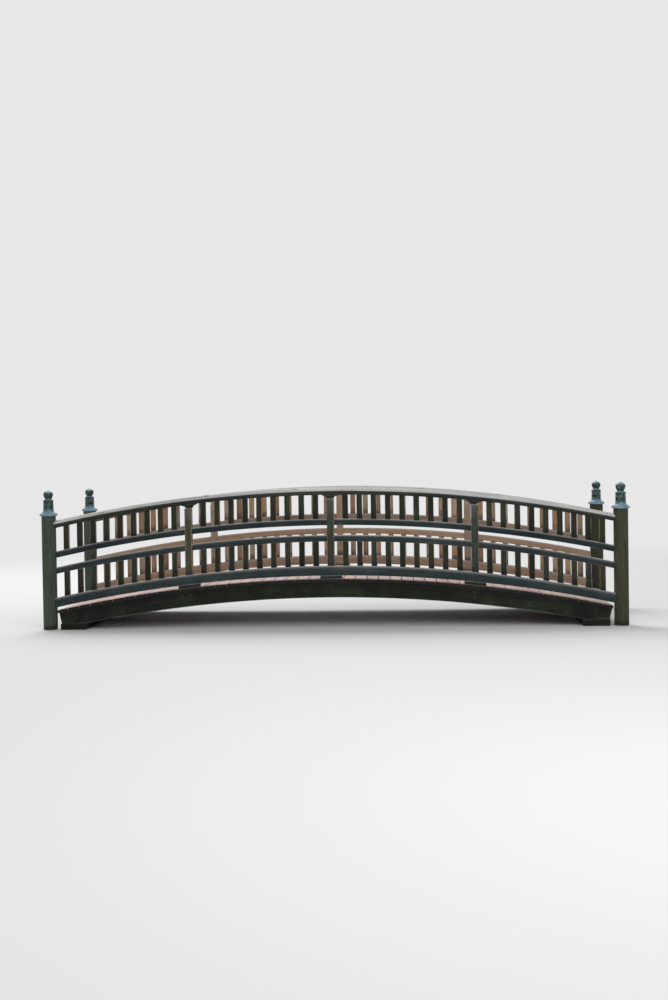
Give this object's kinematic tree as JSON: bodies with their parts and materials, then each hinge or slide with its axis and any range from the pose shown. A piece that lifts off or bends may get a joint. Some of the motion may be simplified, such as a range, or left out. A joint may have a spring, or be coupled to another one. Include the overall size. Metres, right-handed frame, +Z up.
{
  "type": "arched garden footbridge",
  "caption": "Low arched timber footbridge with a curved board deck, two railings of upright slats under round top rails, and round end posts with metal finials.",
  "frame": {"origin": "on the ground, midway along and across the bridge", "axes": "+X along the bridge to the right, +Y across it to the back, +Z up"},
  "size_m": [7.424, 2.224, 1.78],
  "materials": {
    "dark_timber": "old dark timber",
    "deck_boards": "sun-bleached boards",
    "weathered_wood": "weathered brown-grey wood",
    "bleached_wood": "silver-grey bleached wood",
    "patinated_metal": "dark patinated cast metal"
  },
  "bodies": {
    "root": {"sill_left": "dark_timber", "sill_right": "dark_timber", "girder_front": "dark_timber", "girder_middle": "dark_timber", "girder_back": "dark_timber", "girder_braces": "dark_timber", "deck": "deck_boards", "blocks_front": "weathered_wood", "blocks_back": "weathered_wood", "bottom_rail_front": "weathered_wood", "bottom_rail_back": "weathered_wood", "lower_rail_front": "weathered_wood", "lower_rail_back": "weathered_wood", "upper_rail_front": "weathered_wood", "upper_rail_back": "weathered_wood", "top_rail_front": "bleached_wood", "top_rail_back": "bleached_wood", "saddles_front": "weathered_wood", "saddles_back": "weathered_wood", "post_front_1": "weathered_wood", "post_front_2": "weathered_wood", "post_front_3": "weathered_wood", "post_back_1": "weathered_wood", "post_back_2": "weathered_wood", "post_back_3": "weathered_wood", "end_post_front_left": "weathered_wood", "end_post_front_right": "weathered_wood", "end_post_back_left": "weathered_wood", "end_post_back_right": "weathered_wood", "finial_front_left": "patinated_metal", "finial_front_right": "patinated_metal", "finial_back_left": "patinated_metal", "finial_back_right": "patinated_metal", "slats_front_1": "weathered_wood", "slats_front_2": "weathered_wood", "slats_front_3": "weathered_wood", "slats_front_4": "weathered_wood", "slats_back_1": "weathered_wood", "slats_back_2": "weathered_wood", "slats_back_3": "weathered_wood", "slats_back_4": "weathered_wood"}
  },
  "joints": []
}
